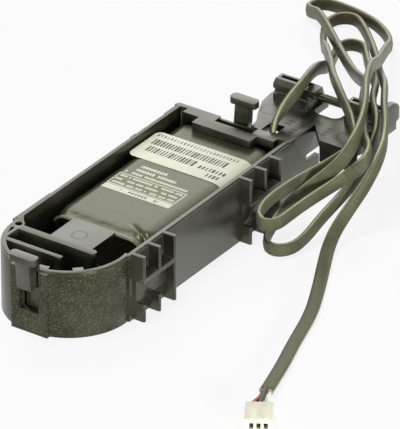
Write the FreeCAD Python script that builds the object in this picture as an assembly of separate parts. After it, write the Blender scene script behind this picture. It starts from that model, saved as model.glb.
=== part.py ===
"""Backup power pack of a server's write cache: a moulded snap-in tray, a sealed pack and its lead.

Millimetres. The origin is on the tray's base, at the centre of the round nose. +X is to the side
that carries the rail clips, +Y runs from the nose to the rear arm, and +Z is up.
"""
import FreeCAD
import Part
import math
import os
from FreeCAD import Vector

os.makedirs("parts", exist_ok=True)

# Tray shell
TRAY_WIDTH = 40.0
TRAY_HEIGHT = 21.0
BODY_LENGTH = 83.2
WALL = 1.6
FLOOR = 1.5
NOSE_SET_IN = 0.6
SHOULDER_Y = 1.0
RIM_STEP_DEPTH = 0.45
RIM_STEP_HEIGHT = 0.5
FACET_WIDTH = 12.4
FACET_PROUD = 0.3

# Shallow pads on the left wall; each rear pad has its distance from the rear and its length
LEFT_PAD_PROUD = 0.4
FRONT_PAD_LENGTH = 18.0
REAR_PADS = ((24.5, 2.6), (7.2, 6.5))

# Partitions in the nose
CROSS_WALL_Y = -3.4
CROSS_WALL = 2.4
CROSS_WALL_END = 10.8
RIB_Y = -10.3
RIB = 1.5
RIB_END = 4.2
WEB_X = -16.4
WEB = 1.0
TONGUE_WIDTH = 14.4
TONGUE_REACH = 13.4
TONGUE = 1.4
TONGUE_DROP = 1.4
PEG_PAD = 3.2
PEG_PAD_RUN_OUT = 4.7
PEG_HOLE_RADIUS = 1.1
PEG_HOLE_DEPTH = 6.0
RIM_TAB_LENGTH = 3.0
RIM_TAB_REACH = 1.6
RIM_TAB_HEIGHT = 1.2
RIM_TAB_ANGLES = (-79.0, -46.0)

# Snap latches, one at each end
LATCH_WIDTH = 4.8
LATCH_ARM = 1.4
LATCH_GAP = 0.5
LATCH_HOOK_Z = 15.0
LATCH_HOOK_PROUD = 2.6
LATCH_NECK = 2.4
LATCH_LEAN = 3.4
LATCH_HEAD_WIDTH = 9.0
LATCH_HEAD_DEPTH = 3.4
LATCH_HEAD_LIP = 0.8
LATCH_HEAD = 2.0
LATCH_HEAD_CORNER = 1.2
FRONT_LATCH_RAISE = 5.2
REAR_LATCH_RAISE = 6.5
REAR_LATCH_X = 1.0
REAR_LATCH_GAP = 1.0
REAR_LATCH_SET_BACK = 0.4
LATCH_SLOT_CLEARANCE = 1.0
LATCH_WINDOW_Z = 7.0

# Bridge over the rear of the pack, with a shallow pocket and the port for the lead
BRIDGE = 2.4
BRIDGE_HALF = 10.2
BRIDGE_REACH = 7.7
BRIDGE_SHOULDER_HALF = 15.9
BRIDGE_SHOULDER_REACH = 4.0
POCKET_LEFT = -5.2
POCKET_RIGHT = 7.9
POCKET_REACH = 3.4
POCKET_DEPTH = 1.8
POCKET_LIP = 0.9
POCKET_LIP_DROP = 0.6
PORT_X = 11.3
PORT_WIDTH = 5.0
PORT_BEHIND = 5.4
PORT_SILL = 6.4
PORT_LINTEL = 13.0

# Rail clips on the right wall
FRONT_CLIP_SET_BACK = 2.0
REAR_CLIP_DISTANCE = 27.0
CLIP_FINS = 3
CLIP_PITCH = 7.5
CLIP_FIN = 1.2
CLIP_FIN_ROUND = 0.5
CLIP_REACH = 3.7
CLIP_SHELF_TOP = 14.1
CLIP_SHELF = 1.5
CLIP_FOOT_TOP = 5.6
CLIP_BAND_PROUD = 0.9

# Rear arm
WALL_RUN_ON = 13.8
WALL_SLOT_LENGTH = 6.6
WALL_SLOT_Z = 10.2
WALL_SLOT_HEIGHT = 2.6
ARM = 2.4
ARM_OVERHANG = 18.6
ARM_SET_BACK = 4.3
ARM_CORNER = 4.0
ARM_THROAT_WIDTH = 6.4
ARM_THROAT_LENGTH = 7.2
ARM_FLANGE_DROP = 7.0
ARM_FLANGE = 2.2
ARM_LEFT_EDGE = ((5.4, -0.8), (5.4, 0.4), (4.6, 4.0), (2.2, 8.2), (-0.5, 14.3), (-1.2, 19.6), (-1.2, 22.0))
BOSS_SET_BACK = 16.8
BOSS_WIDTH = 12.0
BOSS_LEFT_X = 1.7
BOSS_HEIGHT = 6.8
BOSS_PROFILE = ((0.0, 0.81), (1.3, 1.0), (4.7, 1.0), (8.0, 0.66), (8.8, 0.34))
BOSS_LENGTH = 9.4
BOSS_SLOT_LENGTH = 10.0
BOSS_SLOT_WIDTH = 1.5
BOSS_SLOT_DEPTH = 3.0
BOSS_SLOT_SET_BACK = 2.4
BOSS_GROOVE_RADIUS = 0.9
BOSS_GROOVE_RAISE = 3.2
BOSS_EAR_REACH = 2.3
BOSS_EAR_LENGTH = 4.4
BOSS_EAR_HEIGHT = 2.2
CHEEK = 2.0
CHEEK_PROFILE = ((0.0, 0.95), (0.4, 1.0), (7.3, 1.0), (9.7, 0.88), (10.9, 0.66), (11.0, 0.1))
NOTCH_SET_IN = 1.3
NOTCH_WIDTH = 9.0
NOTCH_LENGTH = 8.9
NOTCH_CORNER = 2.6
BAR_RADIUS = 1.3
BAR_SET_BACK = 6.7
BAR_RAISE = 1.7

# Sealed pack: cells in a shrunk film whose front mouth is pinched behind its rim
PACK_SIDE_GAP = 0.8
PACK_TOP_GAP = 0.2
PACK_FRONT = 18.4
PACK_REAR_GAP = 4.2
PACK_CORNER = 5.6
PACK_END_ROUND = 2.2
FILM_NECK_REACH = 1.4
FILM_NECK_INSET = 1.1
FILM_MOUTH_REACH = 3.0
FILM_MOUTH_INSET = 0.3
FILM_FOLD = 0.7

# Paper label laid over the pack, with its left end standing free
LABEL = 0.2
LABEL_REAR_GAP = 9.8
LABEL_LENGTH = 16.0
LABEL_LEFT_INSET = 0.1
LABEL_WRAP = 60.0
LABEL_CORNER = 2.0

# Sleeved lead and its three wires
LEAD_RADIUS = 1.6
LEAD_FLOOR_GAP = 0.2
LEAD_EXIT_Z = 9.0
LEAD_OVER_BOSS = 3.0
LEAD_LAYER = 3.7
WIRE_RADIUS = 0.7
WIRE_SPREAD = 0.9
WIRE_ENTRY = 2.8

# Connector on the end of the lead
PLUG_WIDTH = 7.9
PLUG_HEIGHT = 4.8
PLUG_LENGTH = 9.6
PLUG_PITCH = 2.0
PLUG_AHEAD = 10.4
PLUG_TURN = 16.0
PLUG_EDGE = 0.5
PLUG_RAIL_WIDTH = 1.0
PLUG_RAIL_HEIGHT = 0.5
PLUG_CAVITY = 1.2
PLUG_CAVITY_HEIGHT = 2.4
PLUG_CAVITY_LENGTH = 7.2
CONTACT = 0.4
CONTACT_LENGTH = 6.4

HALF = TRAY_WIDTH / 2
TOP = TRAY_HEIGHT
REAR = BODY_LENGTH
NOSE_RADIUS = HALF - NOSE_SET_IN
ARM_BOTTOM = TOP - ARM
ARM_RIGHT = HALF + ARM_OVERHANG
ARM_FRONT = REAR + ARM_SET_BACK
BOSS_FRONT = REAR + BOSS_SET_BACK
ARM_REAR = BOSS_FRONT + BOSS_LENGTH
BOSS_RIGHT_X = ARM_RIGHT - BOSS_WIDTH
BOSS_TOP = TOP + BOSS_HEIGHT
NOTCH_LEFT = BOSS_LEFT_X + BOSS_WIDTH + NOTCH_SET_IN
NOTCH_RIGHT = NOTCH_LEFT + NOTCH_WIDTH
PACK_WIDTH = TRAY_WIDTH - 2 * WALL - 2 * PACK_SIDE_GAP
PACK_TOP = TOP - BRIDGE - PACK_TOP_GAP
PACK_REAR = REAR - PACK_REAR_GAP
PACK_FLAT = PACK_WIDTH / 2 - PACK_CORNER
LABEL_FRONT = PACK_REAR - LABEL_REAR_GAP - LABEL_LENGTH
LEAD_LOW = LEAD_RADIUS + LEAD_FLOOR_GAP
LEAD_OVER = BOSS_TOP + LEAD_RADIUS + LEAD_OVER_BOSS
LEAD_UPPER = LEAD_OVER + LEAD_LAYER
UP = Vector(0, 0, 1)


def box(x0, x1, y0, y1, z0, z1):
    """A block between two corners."""
    return Part.makeBox(x1 - x0, y1 - y0, z1 - z0, Vector(x0, y0, z0))


def plate(outline, z0, z1):
    """A flat plate from an outline of (x, y) points."""
    points = [Vector(x, y, z0) for x, y in outline]
    face = Part.Face(Part.makePolygon(points + points[:1]))
    return face.extrude(Vector(0, 0, z1 - z0))


def side_profile(outline, x0, x1):
    """A bar along X whose section is an outline of (y, z) points."""
    points = [Vector(x0, y, z) for y, z in outline]
    face = Part.Face(Part.makePolygon(points + points[:1]))
    return face.extrude(Vector(x1 - x0, 0, 0))


def fuse(shapes):
    """One solid from shapes that meet."""
    return shapes[0].multiFuse(shapes[1:]).removeSplitter()


def cut(shape, tools):
    """A shape with every tool taken out of it."""
    return shape.cut(tools).removeSplitter()


def upright_edges(shape, wanted):
    """The vertical edges of a shape whose middle passes a test."""
    found = []
    for edge in shape.Edges:
        start, end = edge.firstVertex().Point, edge.lastVertex().Point
        along = end - start
        if abs(along.x) + abs(along.y) < 1e-6 and wanted((start + end) * 0.5):
            found.append(edge)
    return found


def tub(inset, z0, z1):
    """The tray's outline, drawn in by an inset, between two heights."""
    half = HALF - inset
    nose = Part.makeCylinder(NOSE_RADIUS - inset, z1 - z0, Vector(0, 0, z0))
    body = box(-half, half, SHOULDER_Y + inset, REAR - inset, z0, z1)
    return nose.fuse(body).removeSplitter()


def shell():
    """The open tub with its stepped rim, the flat facet on the nose and the left wall's pads."""
    facet_front = -NOSE_RADIUS - FACET_PROUD
    facet = box(-FACET_WIDTH / 2, FACET_WIDTH / 2, facet_front, -NOSE_RADIUS + 2 * WALL, 0, TOP)
    spans = [(SHOULDER_Y, SHOULDER_Y + FRONT_PAD_LENGTH)]
    for distance, length in REAR_PADS:
        spans.append((REAR - distance, REAR - distance + length))
    pads = [box(-HALF - LEFT_PAD_PROUD, -HALF + WALL, start, end, 0, TOP) for start, end in spans]
    outer = fuse([tub(0, 0, TOP), facet] + pads)
    rim_z = TOP - RIM_STEP_HEIGHT
    rim = box(-TRAY_WIDTH, TRAY_WIDTH, -TRAY_WIDTH, REAR - WALL, rim_z, TOP)
    rim = rim.cut(tub(RIM_STEP_DEPTH, rim_z, TOP))
    return cut(outer, [rim, tub(WALL, FLOOR, TOP)])


def nose_partitions():
    """The cross wall with its hold-down tongue, the thin rib, the web and the peg pad."""
    inside = tub(WALL / 2, FLOOR / 2, TOP)
    cross_rear = CROSS_WALL_Y + CROSS_WALL
    cross = box(-HALF, CROSS_WALL_END, CROSS_WALL_Y, cross_rear, 0, TOP)
    cross = cross.makeFillet(CROSS_WALL * 0.45, upright_edges(cross, lambda p: p.x > 0))
    rib = box(-HALF, RIB_END, RIB_Y, RIB_Y + RIB, 0, TOP)
    web = box(WEB_X, WEB_X + WEB, RIB_Y, cross_rear, 0, TOP)
    pad_end = -HALF + WALL + PEG_PAD
    pad_mid = pad_end - PEG_PAD / 2
    peg_pad = plate([
        (-HALF, CROSS_WALL_Y), (pad_end, CROSS_WALL_Y), (pad_end, cross_rear + PEG_PAD / 4),
        (pad_mid, cross_rear + PEG_PAD_RUN_OUT / 2), (-HALF + WALL, cross_rear + PEG_PAD_RUN_OUT),
        (-HALF, cross_rear + PEG_PAD_RUN_OUT),
    ], 0, TOP)
    walls = fuse([cross, rib, web, peg_pad]).common(inside)
    tongue_top = TOP - TONGUE_DROP
    tongue_rear = cross_rear + TONGUE_REACH
    tongue = box(-TONGUE_WIDTH / 2, TONGUE_WIDTH / 2, CROSS_WALL_Y + CROSS_WALL / 2, tongue_rear,
                 tongue_top - TONGUE, tongue_top)
    return [walls, tongue]


def peg_hole():
    """The blind round hole in the peg pad."""
    x = -HALF + WALL + PEG_PAD / 2
    y = CROSS_WALL_Y + CROSS_WALL
    return Part.makeCylinder(PEG_HOLE_RADIUS, PEG_HOLE_DEPTH, Vector(x, y, TOP - PEG_HOLE_DEPTH))


def rim_tabs():
    """Small tabs that stand inwards from the nose's rim."""
    tabs = []
    inner = NOSE_RADIUS - WALL - RIM_TAB_REACH
    half = RIM_TAB_LENGTH / 2
    for angle in RIM_TAB_ANGLES:
        tab = box(inner, NOSE_RADIUS - WALL / 2, -half, half, TOP - RIM_TAB_HEIGHT, TOP)
        tab.rotate(Vector(0, 0, 0), UP, angle)
        tabs.append(tab)
    return tabs


def latch(x, wall_y, arm_y, outward, raise_by):
    """A springy arm with a hook that faces outward past wall_y and a T-shaped finger head on top."""
    top = TOP + raise_by
    head_z = top - LATCH_HEAD
    stem_y = wall_y + outward * LATCH_LEAN
    arm_outer = arm_y + outward * LATCH_ARM
    neck_z = (LATCH_HOOK_Z + head_z) / 2
    outline = [
        (arm_y, 0),
        (arm_outer, 0),
        (arm_outer, LATCH_HOOK_Z),
        (wall_y + outward * LATCH_HOOK_PROUD, LATCH_HOOK_Z),
        (stem_y, head_z),
        (stem_y - outward * LATCH_NECK, head_z),
        (arm_y, neck_z),
    ]
    half = LATCH_WIDTH / 2
    arm = side_profile(outline, x - half, x + half)
    lip_y = stem_y + outward * LATCH_HEAD_LIP
    back_y = lip_y - outward * LATCH_HEAD_DEPTH
    half = LATCH_HEAD_WIDTH / 2
    head = box(x - half, x + half, min(lip_y, back_y), max(lip_y, back_y), head_z, top)
    head = head.makeFillet(LATCH_HEAD_CORNER, upright_edges(head, lambda p: True))
    return [arm, head]


def front_latch():
    """The nose's latch, behind its slot in the facet."""
    inner = -NOSE_RADIUS + WALL + LATCH_GAP + LATCH_ARM
    return latch(0, -NOSE_RADIUS, inner, -1, FRONT_LATCH_RAISE)


def front_latch_slot():
    """The slot in the nose wall that lets the latch bend, open from the window up to the rim."""
    half = LATCH_WIDTH / 2 + LATCH_SLOT_CLEARANCE
    front = -NOSE_RADIUS - 2 * FACET_PROUD
    rear = -NOSE_RADIUS + WALL + LATCH_GAP / 2
    return box(-half, half, front, rear, LATCH_WINDOW_Z, TOP)


def rear_latch():
    """The rear latch, on a foot that runs out from the floor."""
    arm_y = REAR + REAR_LATCH_GAP
    half = LATCH_WIDTH / 2
    foot = box(REAR_LATCH_X - half, REAR_LATCH_X + half, REAR - WALL, arm_y + LATCH_ARM, 0, FLOOR)
    return [foot] + latch(REAR_LATCH_X, arm_y - REAR_LATCH_SET_BACK, arm_y, 1, REAR_LATCH_RAISE)


def bridge():
    """The stepped bridge that holds the rear of the pack down."""
    right = [
        (BRIDGE_HALF, REAR - BRIDGE_REACH),
        (BRIDGE_HALF, REAR - BRIDGE_SHOULDER_REACH),
        (BRIDGE_SHOULDER_HALF, REAR - BRIDGE_SHOULDER_REACH),
        (BRIDGE_SHOULDER_HALF, REAR - WALL / 2),
    ]
    left = [(-x, y) for x, y in reversed(right)]
    return plate(left + right, TOP - BRIDGE, TOP)


def bridge_cuts():
    """The pocket in the bridge with its lowered lip, the lead's window and its hole in the arm."""
    lip_y = REAR - POCKET_LIP
    pocket = box(POCKET_LEFT, POCKET_RIGHT, REAR - POCKET_REACH, lip_y, TOP - POCKET_DEPTH, TOP)
    lip = box(POCKET_LEFT, POCKET_RIGHT, lip_y, REAR, TOP - POCKET_LIP_DROP, TOP)
    half = PORT_WIDTH / 2
    left, right = PORT_X - half, PORT_X + half
    window = box(left, right, REAR - 2 * WALL, REAR + WALL, PORT_SILL, PORT_LINTEL)
    hole = box(left, right, REAR, REAR + PORT_BEHIND, ARM_BOTTOM - ARM, TOP)
    return [pocket, lip, window, hole]


def clip_fin(y, z0, z1):
    """An upright fin on the right wall with a rounded outer end."""
    outer = HALF + CLIP_REACH
    fin = box(HALF - WALL / 2, outer, y, y + CLIP_FIN, z0, z1)
    return fin.makeFillet(CLIP_FIN_ROUND, upright_edges(fin, lambda p: p.x > HALF))


def rail_clips():
    """Two finned clips on the right wall, each with a groove under a shelf that its rear fin closes."""
    solids = []
    inner = HALF - WALL / 2
    shelf_bottom = CLIP_SHELF_TOP - CLIP_SHELF
    for start in (SHOULDER_Y + FRONT_CLIP_SET_BACK, REAR - REAR_CLIP_DISTANCE):
        end = start + (CLIP_FINS - 1) * CLIP_PITCH + CLIP_FIN / 2
        solids.append(box(inner, HALF + CLIP_REACH, start, end, shelf_bottom, CLIP_SHELF_TOP))
        solids.append(box(inner, HALF + CLIP_BAND_PROUD, start, end, CLIP_FOOT_TOP, shelf_bottom))
        for index in range(CLIP_FINS - 1):
            y = start + index * CLIP_PITCH
            solids.append(clip_fin(y, shelf_bottom, TOP))
            solids.append(clip_fin(y, 0, CLIP_FOOT_TOP))
        solids.append(clip_fin(end - CLIP_FIN / 2, 0, TOP))
    return solids


def wall_run_on():
    """The right wall carried on past the rear, with its slot open to the rear."""
    end = REAR + WALL_RUN_ON
    wall = box(HALF - WALL, HALF, REAR - WALL, end, 0, TOP)
    slot_top = WALL_SLOT_Z + WALL_SLOT_HEIGHT
    slot = box(HALF - 2 * WALL, HALF + WALL, end - WALL_SLOT_LENGTH, end + WALL, WALL_SLOT_Z, slot_top)
    return wall.cut(slot)


def arm_deck():
    """The flat arm behind the tray, with a flange under its front edge."""
    outline = [(x, REAR + y) for x, y in ARM_LEFT_EDGE]
    outline += [
        (BOSS_LEFT_X, ARM_REAR),
        (ARM_RIGHT, ARM_REAR),
        (ARM_RIGHT, ARM_FRONT),
        (HALF + ARM_THROAT_WIDTH, ARM_FRONT),
        (HALF, ARM_FRONT + ARM_THROAT_LENGTH),
        (HALF, REAR - WALL / 2),
    ]
    block = plate(outline, TOP - ARM_FLANGE_DROP, TOP)
    front_corner = Vector(ARM_RIGHT, ARM_FRONT, TOP - ARM_FLANGE_DROP / 2)
    block = block.makeFillet(ARM_CORNER, upright_edges(block, lambda p: p.distanceToPoint(front_corner) < 1))
    below = box(-TRAY_WIDTH, 2 * TRAY_WIDTH, ARM_FRONT + ARM_FLANGE, 2 * ARM_REAR, 0, ARM_BOTTOM)
    beside = box(-TRAY_WIDTH, HALF + ARM_THROAT_WIDTH, 0, 2 * ARM_REAR, 0, ARM_BOTTOM)
    return block.cut([below, beside])


def notch():
    """The round-cornered notch in the arm's rear edge."""
    front = ARM_REAR - NOTCH_LENGTH
    tool = box(NOTCH_LEFT, NOTCH_RIGHT, front, ARM_REAR + ARM, ARM_BOTTOM - ARM, TOP + ARM)
    return tool.makeFillet(NOTCH_CORNER, upright_edges(tool, lambda p: p.y < front + 1))


def boss(x):
    """A boss with a sloping back that stands on the arm."""
    outline = [(BOSS_FRONT, TOP - ARM / 2)]
    for y, height in BOSS_PROFILE:
        outline.append((BOSS_FRONT + y, TOP + height * BOSS_HEIGHT))
    outline += [(ARM_REAR, TOP), (ARM_REAR, TOP - ARM / 2)]
    return side_profile(outline, x, x + BOSS_WIDTH)


def boss_ear():
    """The ear that the left boss holds out over the bar."""
    x = BOSS_LEFT_X + BOSS_WIDTH
    z = BOSS_TOP - BOSS_EAR_HEIGHT
    return box(x - BOSS_EAR_REACH, x + BOSS_EAR_REACH, BOSS_FRONT, BOSS_FRONT + BOSS_EAR_LENGTH, z, BOSS_TOP)


def cheek():
    """The side plate that closes the right boss and runs on past the arm's rear edge."""
    outline = [(BOSS_FRONT, TOP - ARM / 2)]
    for y, height in CHEEK_PROFILE:
        outline.append((BOSS_FRONT + y, TOP + height * BOSS_HEIGHT))
    outline += [(ARM_REAR, TOP), (ARM_REAR, TOP - ARM / 2)]
    return side_profile(outline, ARM_RIGHT - CHEEK, ARM_RIGHT)


def boss_cuts():
    """The slot in each boss's top and the half-round groove along its front."""
    tools = []
    for x in (BOSS_LEFT_X, BOSS_RIGHT_X):
        middle = x + BOSS_WIDTH / 2
        slot_y = BOSS_FRONT + BOSS_SLOT_SET_BACK
        half = BOSS_SLOT_LENGTH / 2
        tools.append(box(middle - half, middle + half, slot_y, slot_y + BOSS_SLOT_WIDTH,
                         BOSS_TOP - BOSS_SLOT_DEPTH, BOSS_TOP))
        base = Vector(x, BOSS_FRONT, TOP + BOSS_GROOVE_RAISE)
        tools.append(Part.makeCylinder(BOSS_GROOVE_RADIUS, BOSS_WIDTH, base, Vector(1, 0, 0)))
    return tools


def grip_bar():
    """The round bar between the two bosses."""
    start = BOSS_LEFT_X + BOSS_WIDTH / 2
    base = Vector(start, BOSS_FRONT + BAR_SET_BACK, TOP + BAR_RAISE)
    return Part.makeCylinder(BAR_RADIUS, BOSS_RIGHT_X + BOSS_WIDTH / 2 - start, base, Vector(1, 0, 0))


def holder_tray():
    """The whole moulding."""
    body = cut(shell(), [front_latch_slot()])
    solids = [body] + nose_partitions() + rim_tabs() + front_latch() + rear_latch()
    solids += [bridge(), wall_run_on()] + rail_clips()
    arm = cut(arm_deck(), [notch()])
    solids += [arm, boss(BOSS_LEFT_X), boss(BOSS_RIGHT_X), boss_ear(), cheek(), grip_bar()]
    return cut(fuse(solids), [peg_hole()] + bridge_cuts() + boss_cuts())


def pack_outline(inset, y):
    """The pack's section, drawn in by an inset: a rectangle with round corners, upright at a given y."""
    half = PACK_WIDTH / 2 - inset
    low, high = FLOOR + inset, PACK_TOP - inset
    radius = PACK_CORNER - inset
    slant = radius * (1 - math.sqrt(0.5))
    edges = []
    for x_sign, z_sign in ((1, 1), (1, -1), (-1, -1), (-1, 1)):
        side, level = x_sign * half, high if z_sign > 0 else low
        upper = Vector(side - x_sign * radius, y, level)
        lower = Vector(side, y, level - z_sign * radius)
        middle = Vector(side - x_sign * slant, y, level - z_sign * slant)
        turn = (upper, middle, lower) if x_sign * z_sign > 0 else (lower, middle, upper)
        edges.append(Part.Arc(*turn))
    ring = []
    for arc, following in zip(edges, edges[1:] + edges[:1]):
        ring += [arc.toShape(), Part.LineSegment(arc.EndPoint, following.StartPoint).toShape()]
    return Part.Wire(ring)


def capacitor_pack():
    """The cells in one film: a round-cornered body whose film is pinched in front and opens to a mouth."""
    body = Part.Face(pack_outline(0, PACK_FRONT)).extrude(Vector(0, PACK_REAR - PACK_FRONT, 0))
    rear_edges = [edge for edge in body.Edges if edge.BoundBox.YMin > PACK_REAR - 0.01]
    body = body.makeFillet(PACK_END_ROUND, rear_edges)
    mouth_y = PACK_FRONT - FILM_MOUTH_REACH
    neck_y = PACK_FRONT - FILM_NECK_REACH
    mouth = Part.makeLoft([
        pack_outline(FILM_MOUTH_INSET, mouth_y),
        pack_outline(FILM_NECK_INSET, neck_y),
        pack_outline(0, PACK_FRONT),
    ], True, True)
    hollow = Part.makeLoft([
        pack_outline(FILM_MOUTH_INSET + FILM_FOLD, mouth_y),
        pack_outline(FILM_NECK_INSET + FILM_FOLD, neck_y),
    ], True, True)
    return cut(fuse([body, mouth]), [hollow])


def label_line(lift):
    """One side of the label's section, from the free left end round to the tucked right end."""
    wrap = PACK_CORNER + lift
    turn = math.radians(LABEL_WRAP)

    def on_wrap(angle):
        z = PACK_TOP - PACK_CORNER + wrap * math.cos(angle)
        return Vector(PACK_FLAT + wrap * math.sin(angle), LABEL_FRONT, z)

    free_end = Vector(-PACK_WIDTH / 2 + LABEL_LEFT_INSET, LABEL_FRONT, PACK_TOP + lift)
    return [Part.LineSegment(free_end, on_wrap(0)), Part.Arc(on_wrap(0), on_wrap(turn / 2), on_wrap(turn))]


def part_label():
    """The paper label, as a thin bent sheet with round corners at its free end."""
    inner, outer = label_line(0), label_line(LABEL)
    ends = [
        Part.LineSegment(inner[0].StartPoint, outer[0].StartPoint),
        Part.LineSegment(inner[-1].EndPoint, outer[-1].EndPoint),
    ]
    edges = Part.sortEdges([curve.toShape() for curve in inner + outer + ends])[0]
    sheet = Part.Face(Part.Wire(edges)).extrude(Vector(0, LABEL_LENGTH, 0))
    free_end = -PACK_WIDTH / 2 + LABEL_LEFT_INSET + LABEL
    corners = [e for e in sheet.Edges if e.BoundBox.XMax < free_end and e.Length < 2 * LABEL]
    return sheet.makeFillet(LABEL_CORNER, corners)


def cord(name, points, radius):
    """A round cord along straight runs joined by tangent arcs; its tightest arc is printed."""
    edges = []
    start = points[0]
    tightest = None
    for before, corner, after in zip(points, points[1:], points[2:]):
        into, away = corner - before, after - corner
        half_turn = into.getAngle(away) / 2
        setback = 0.45 * min(into.Length, away.Length)
        arc_radius = setback / math.tan(half_turn)
        into.normalize()
        away.normalize()
        inward = (away - into).normalize()
        middle = corner + inward * (arc_radius / math.cos(half_turn) - arc_radius)
        arc_start, arc_end = corner - into * setback, corner + away * setback
        edges.append(Part.LineSegment(start, arc_start).toShape())
        edges.append(Part.Arc(arc_start, middle, arc_end).toShape())
        start = arc_end
        tightest = arc_radius if tightest is None else min(tightest, arc_radius)
    edges.append(Part.LineSegment(start, points[-1]).toShape())
    path = Part.Wire(edges)
    ring = Part.Wire(Part.makeCircle(radius, points[0], points[1] - points[0]))
    tube = path.makePipeShell([ring], True, False)
    print(name, "length", round(path.Length, 1), "tightest radius", round(tightest, 2))
    return tube


def lead_points():
    """The lead's route: out of the port, then coiled behind the arm and draped over its bosses."""
    low, over, upper = LEAD_LOW, LEAD_OVER, LEAD_UPPER
    exit_points = [
        (PORT_X, PACK_REAR, LEAD_EXIT_Z),
        (PORT_X, PACK_REAR + 3.6, LEAD_EXIT_Z),
        (PORT_X, PACK_REAR + 6.0, LEAD_EXIT_Z + 2.4),
        (PORT_X, PACK_REAR + 6.3, LEAD_EXIT_Z + 8.0),
    ]
    left_boss_to_arch = [
        (-27.1, -0.9, 23.0), (-26.8, 5.0, 28.4), (-26.1, 11.5, 30.6), (-27.6, 21.0, 29.4),
        (-34.1, 33.0, 24.0), (-44.1, 50.0, 12.0), (-51.6, 64.0, 4.8), (-57.1, 73.5, low),
        (-57.5, 79.8, low), (-52.1, 82.3, low), (-47.6, 77.7, 3.6),
    ]
    right_boss_to_low_loop = [
        (-40.6, 67.5, 8.5), (-26.6, 49.0, 16.5), (-13.1, 31.0, 25.5), (-5.6, 21.0, over),
        (-3.1, 13.0, over), (1.8, 5.5, 29.0), (3.6, 0.5, 23.0), (3.3, -4.0, 15.0), (1.2, -9.5, 7.5),
        (-0.2, -16.5, 2.6), (-0.4, -24.0, low), (-1.6, -30.3, low), (-6.8, -32.5, low),
        (-10.7, -27.7, 2.2), (-10.4, -21.0, 6.0),
    ]
    outer_top_loop = [
        (-10.0, -15.0, 10.2), (-8.1, -9.5, 14.8), (-3.6, -5.5, 21.0), (-2.3, -0.5, 29.0),
        (-2.4, 5.8, 33.4), (-5.2, 13.0, upper), (-7.3, 21.0, upper), (-14.6, 32.0, 29.3),
        (-26.1, 52.0, 19.0), (-39.1, 76.0, 8.5), (-46.1, 90.0, low), (-54.1, 96.5, low),
        (-63.1, 99.5, low), (-72.1, 100.5, low), (-78.6, 99.3, low), (-79.2, 93.7, 2.2),
    ]
    right_boss_to_high_loop = [
        (-74.8, 90.1, 3.8), (-69.4, 85.7, 6.0), (-60.1, 77.5, 7.2), (-46.6, 65.0, 9.0),
        (-32.6, 49.0, 14.5), (-18.1, 30.5, 24.0), (-9.4, 21.0, over), (-6.8, 13.0, over),
        (-2.2, 5.3, 28.6), (0.6, -1.7, 24.2), (0.2, -5.7, 18.0), (-2.0, -9.9, 12.5), (-3.3, -16.5, 10.0),
        (-3.4, -24.0, 10.2), (-3.4, -29.9, 10.6), (-7.2, -32.1, 11.4), (-11.0, -29.9, 12.2),
        (-11.1, -25.0, 13.2),
    ]
    inner_top_loop = [
        (-11.0, -18.5, 15.2), (-10.4, -11.5, 18.0), (-8.2, -5.5, 21.4), (-5.8, 0.0, 25.6),
        (-6.2, 5.3, 28.6), (-9.8, 10.1, 31.6), (-14.8, 15.0, 32.0), (-20.6, 21.0, 29.4),
        (-28.8, 32.0, 25.8), (-43.6, 51.0, 17.2), (-54.6, 66.5, 7.5), (-62.1, 77.1, 2.4),
        (-67.3, 84.5, low), (-68.8, 91.0, low), (-64.1, 95.5, low), (-57.1, 92.1, low),
        (-47.6, 85.5, low),
    ]
    right_boss_to_floor = [
        (-38.6, 74.5, 2.4), (-26.1, 53.5, 10.5), (-11.1, 32.0, 22.0), (-1.6, 21.3, over),
        (1.2, 12.4, over), (5.9, 5.5, 29.0), (7.3, 0.5, 22.5), (6.8, -4.5, 14.5), (4.8, -10.0, 7.0),
        (4.6, -16.5, 2.4), (6.8, -24.0, low), (11.2, -32.5, low), (16.4, -43.0, low),
        (22.4, -55.7, low), (27.4, -72.1, low), (32.3, -85.6, low), (36.0, -98.3, low),
    ]
    coil = left_boss_to_arch + right_boss_to_low_loop + outer_top_loop + right_boss_to_high_loop
    coil += inner_top_loop + right_boss_to_floor
    points = [Vector(*point) for point in exit_points]
    points += [Vector(ARM_RIGHT + x, ARM_FRONT + y, z) for x, y, z in coil]
    return points


def plug_placement(points):
    """Where the connector lies: ahead of the lead's end, turned a little off its line."""
    end = points[-1]
    along = (end - points[-2]).normalize()
    half_turn = FreeCAD.Rotation(UP, PLUG_TURN / 2)
    rear = end + half_turn.multVec(along) * PLUG_AHEAD
    heading = math.degrees(math.atan2(along.y, along.x)) + PLUG_TURN
    return FreeCAD.Placement(Vector(rear.x, rear.y, 0), FreeCAD.Rotation(UP, heading - 90))


def wire_points(points, index):
    """One wire, from its place in the lead's end to its place in the connector's back."""
    end = points[-1]
    along = (end - points[-2]).normalize()
    across = along.cross(UP)
    angle = math.radians((210, 90, -30)[index])
    start = end + across * (WIRE_SPREAD * math.cos(angle)) + UP * (WIRE_SPREAD * math.sin(angle))
    placement = plug_placement(points)
    offset = (index - 1) * PLUG_PITCH
    finish = placement.multVec(Vector(offset, 0, PLUG_HEIGHT / 2))
    before = placement.multVec(Vector(offset, -WIRE_ENTRY, PLUG_HEIGHT / 2))
    return [start, start + along * WIRE_ENTRY, before, finish]


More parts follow.
